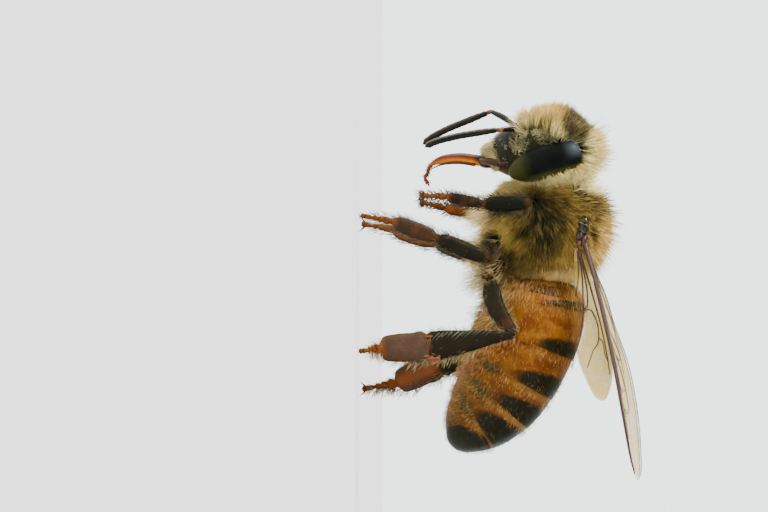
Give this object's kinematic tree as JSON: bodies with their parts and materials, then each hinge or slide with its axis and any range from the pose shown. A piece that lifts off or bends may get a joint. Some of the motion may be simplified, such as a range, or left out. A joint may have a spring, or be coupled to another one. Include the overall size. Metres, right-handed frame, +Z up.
{
  "type": "honey bee",
  "caption": "Life-size worker honey bee standing on its middle and hind feet, tongue out, fore feet raised, wings laid back, with a furry coat and an amber and dark banded abdomen.",
  "frame": {"origin": "centre of the model's box in X and Y, on the floor that its soles rest on", "axes": "+Y runs back along the body and the head faces -Y, +X is the bee's left, +Z is up"},
  "size_m": [0.0088, 0.0134, 0.0104],
  "materials": {
    "coat": "soft tawny and dark hair over dark skin",
    "plates": "satin amber plates with dark bands and fine hair",
    "chitin": "satin dark brown shell",
    "eye": "glossy black, finely faceted",
    "wing": "clear amber membrane with brown veins",
    "tongue": "glossy, wet, translucent red-brown"
  },
  "bodies": {
    "root": {"abdomen_1": "plates", "abdomen_2": "plates", "abdomen_3": "plates", "abdomen_4": "plates", "abdomen_5": "plates", "abdomen_6": "plates", "abdomen_7": "plates", "antenna_flagellum_left": "chitin", "antenna_flagellum_right": "chitin", "antenna_scape_left": "chitin", "antenna_scape_right": "chitin", "eye_left": "eye", "eye_right": "eye", "fore_left_basitarsus": "chitin", "fore_left_coxa": "chitin", "fore_left_femur": "chitin", "fore_left_tarsus": "chitin", "fore_left_tibia": "chitin", "fore_right_basitarsus": "chitin", "fore_right_coxa": "chitin", "fore_right_femur": "chitin", "fore_right_tarsus": "chitin", "fore_right_tibia": "chitin", "forewing_left": "wing", "forewing_right": "wing", "head": "coat", "hind_left_basitarsus": "chitin", "hind_left_coxa": "chitin", "hind_left_femur": "chitin", "hind_left_tarsus": "chitin", "hind_left_tibia": "chitin", "hind_right_basitarsus": "chitin", "hind_right_coxa": "chitin", "hind_right_femur": "chitin", "hind_right_tarsus": "chitin", "hind_right_tibia": "chitin", "hindwing_left": "wing", "hindwing_right": "wing", "mandible_left": "chitin", "mandible_right": "chitin", "mid_left_basitarsus": "chitin", "mid_left_coxa": "chitin", "mid_left_femur": "chitin", "mid_left_tarsus": "chitin", "mid_left_tibia": "chitin", "mid_right_basitarsus": "chitin", "mid_right_coxa": "chitin", "mid_right_femur": "chitin", "mid_right_tarsus": "chitin", "mid_right_tibia": "chitin", "neck": "chitin", "proboscis_base": "tongue", "proboscis_tip": "tongue", "proboscis_tube": "tongue", "thorax": "coat", "waist": "chitin"}
  },
  "joints": []
}
